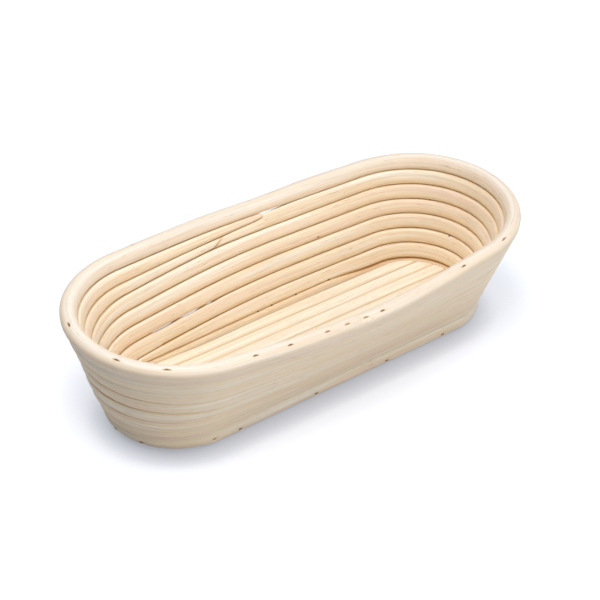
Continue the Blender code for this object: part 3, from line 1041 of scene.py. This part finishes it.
dulledSteel = steelWire("dulledSteelWire", steelForm["dulled"])
sandedSteel = steelWire("sandedSteelWire", steelForm["sanded"])
pins.data.materials.append(dulledSteel)
for name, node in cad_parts.items():
    if "brad" in name:
        isSanded = name.startswith("base") or name in steelForm["sandedBrads"]
        node.data.materials.clear()
        node.data.materials.append(sandedSteel if isSanded else dulledSteel)
print("materials set")

# camera at the photograph's viewing angle
view = {
    "azimuth": math.radians(-37.341),
    "elevation": math.radians(35.107),
    "roll": math.radians(0.445),
    "distance": 0.97668,
    "aim": (0.0, 0.0, 0.036),
    "sensor": 36.0,
    "lens": 94.68,
    "shiftX": -0.000427,
    "shiftY": 0.006438,
}

# studio: white floor, a softbox overhead, a little to the left, a reflector low at the near side and
# surroundings that are brighter on the right
studio = {
    "floorSize": 6.0,
    "floorDrop": 0.2 * mm,
    "floorColour": "#C4C4C4",
    "floorGlowColour": "#F2F6FF",
    "floorGlow": 0.60,  # near the basket, rising to 1 where the lamps reach less
    "glowFrom": 0.35,
    "glowTo": 1.3,
    "worldColour": "#E6EEFF",
    "worldLeft": 0.20,
    "worldRight": 0.58,
    "keyEnergy": 13.6,
    "keySize": 0.7,
    "keyPlace": (-0.22, -0.08, 1.35),
    "fillEnergy": 7.0,
    "fillSize": 1.0,
    "fillPlace": (0.30, -1.30, 0.42),
    "contactReach": 20.0 * mm,
    "contactSamples": 16,
    "contactShade": 0.55,
    "contactColour": "#36446E",
    "contactLean": (0.25, 0.45, 0.8),  # the shade falls away from this side
    "contactFrom": 0.20,
    "contactTo": 0.85,
}

floorBody = bmesh.new()
bmesh.ops.create_grid(floorBody, x_segments=1, y_segments=1, size=studio["floorSize"] / 2)
floorMesh = bpy.data.meshes.new("studioFloor")
floorBody.to_mesh(floorMesh)
floorBody.free()
floor = bpy.data.objects.new("studioFloor", floorMesh)
floor.location.z = -studio["floorDrop"]
scene.collection.objects.link(floor)


# matt white studio paper, a little brighter to the camera so that it stays white, with a bluish contact
# shadow painted round the basket for camera rays
def studioPaper():
    material, tree = emptyMaterial("studioPaper")
    f = studio
    rays = addNode(tree, "ShaderNodeLightPath")
    cameraOrGlossy = addNode(
        tree,
        "ShaderNodeMath",
        links={0: (rays, "Is Camera Ray"), 1: (rays, "Is Glossy Ray")},
        operation="MAXIMUM",
    )
    seen = addNode(
        tree,
        "ShaderNodeMath",
        links={0: (cameraOrGlossy, "Value"), 1: (rays, "Is Transmission Ray")},
        operation="MAXIMUM",
    )
    lean = dict(zip("XYZ", Vector(f["contactLean"]).normalized()))
    leaning = addNode(tree, "ShaderNodeCombineXYZ", lean)
    opening = addNode(
        tree,
        "ShaderNodeAmbientOcclusion",
        {"Distance": f["contactReach"]},
        {"Normal": (leaning, "Vector")},
        samples=f["contactSamples"],
    )
    contact = addNode(
        tree,
        "ShaderNodeMapRange",
        {"From Min": f["contactFrom"], "From Max": f["contactTo"], "To Min": f["contactShade"]},
        {"Value": (opening, "AO")},
    )
    shade = addNode(
        tree,
        "ShaderNodeMix",
        {"A": 1.0},
        {"Factor": (seen, "Value"), "B": (contact, "Result")},
    )
    place = addNode(tree, "ShaderNodeTexCoord")
    away = addNode(tree, "ShaderNodeVectorMath", links={0: (place, "Object")}, operation="LENGTH")
    brighter = addNode(
        tree,
        "ShaderNodeMapRange",
        {"From Min": f["glowFrom"], "From Max": f["glowTo"], "To Min": f["floorGlow"]},
        {"Value": (away, "Value")},
    )
    glow = addNode(
        tree,
        "ShaderNodeMath",
        links={0: (seen, "Value"), 1: (brighter, "Result")},
        operation="MULTIPLY",
    )
    shadedGlow = addNode(
        tree,
        "ShaderNodeMath",
        links={0: (glow, "Value"), 1: (shade, "Result")},
        operation="MULTIPLY",
    )
    paper = addNode(
        tree,
        "ShaderNodeMix",
        {"A": linear(f["contactColour"]), "B": linear(f["floorColour"])},
        {"Factor": (shade, "Result")},
        data_type="RGBA",
    )
    matt = addNode(tree, "ShaderNodeBsdfDiffuse", links={"Color": (paper, "Result")})
    light = addNode(
        tree,
        "ShaderNodeEmission",
        {"Color": linear(f["floorGlowColour"])},
        {"Strength": (shadedGlow, "Value")},
    )
    both = addNode(tree, "ShaderNodeAddShader", links={0: (matt, "BSDF"), 1: (light, "Emission")})
    addNode(tree, "ShaderNodeOutputMaterial", links={"Surface": (both, "Shader")})
    return material


floor.data.materials.append(studioPaper())

world = bpy.data.worlds.new("whiteStudio")
scene.world = world
world.use_nodes = True
tree = world.node_tree
tree.nodes.clear()
rays = addNode(tree, "ShaderNodeLightPath")
direction = addNode(tree, "ShaderNodeTexCoord")
parts = addNode(tree, "ShaderNodeSeparateXYZ", links={"Vector": (direction, "Generated")})
strength = addNode(
    tree,
    "ShaderNodeMapRange",
    {"From Min": -1.0, "To Min": studio["worldLeft"], "To Max": studio["worldRight"]},
    {"Value": (parts, "X")},
)
fill = addNode(
    tree,
    "ShaderNodeBackground",
    {"Color": linear(studio["worldColour"])},
    {"Strength": (strength, "Result")},
)
plain = addNode(tree, "ShaderNodeBackground", {"Color": linear(white), "Strength": 1.0})
either = addNode(
    tree,
    "ShaderNodeMixShader",
    links={"Fac": (rays, "Is Camera Ray"), 1: (fill, "Background"), 2: (plain, "Background")},
)
addNode(tree, "ShaderNodeOutputWorld", links={"Surface": (either, "Shader")})


def softbox(name, energy, size, place):
    data = bpy.data.lights.new(name, "AREA")
    data.shape = "SQUARE"
    data.size = size
    data.energy = energy
    lamp = bpy.data.objects.new(name, data)
    lamp.location = place
    lamp.rotation_euler = (Vector(view["aim"]) - lamp.location).to_track_quat("-Z", "Y").to_euler()
    scene.collection.objects.link(lamp)


softbox("overheadSoftbox", studio["keyEnergy"], studio["keySize"], studio["keyPlace"])
softbox("nearReflector", studio["fillEnergy"], studio["fillSize"], studio["fillPlace"])
print("studio set")

camData = bpy.data.cameras.new("camera")
camData.sensor_width = view["sensor"]
camData.lens = view["lens"]
camData.shift_x = view["shiftX"]
camData.shift_y = view["shiftY"]
camera = bpy.data.objects.new("camera", camData)
a, e, roll = view["azimuth"], view["elevation"], view["roll"]
back = Vector((math.sin(a) * math.cos(e), -math.cos(a) * math.cos(e), math.sin(e)))
right = (-back).cross(Vector((0.0, 0.0, 1.0))).normalized()
up = right.cross(-back)
turnedRight = right * math.cos(roll) + up * math.sin(roll)
turnedUp = up * math.cos(roll) - right * math.sin(roll)
cameraPlace = Matrix.Translation(Vector(view["aim"]) + back * view["distance"])
camera.matrix_world = cameraPlace @ Matrix((turnedRight, turnedUp, back)).transposed().to_4x4()
scene.collection.objects.link(camera)
scene.camera = camera
scene.view_settings.view_transform = "Standard"
print("camera set")
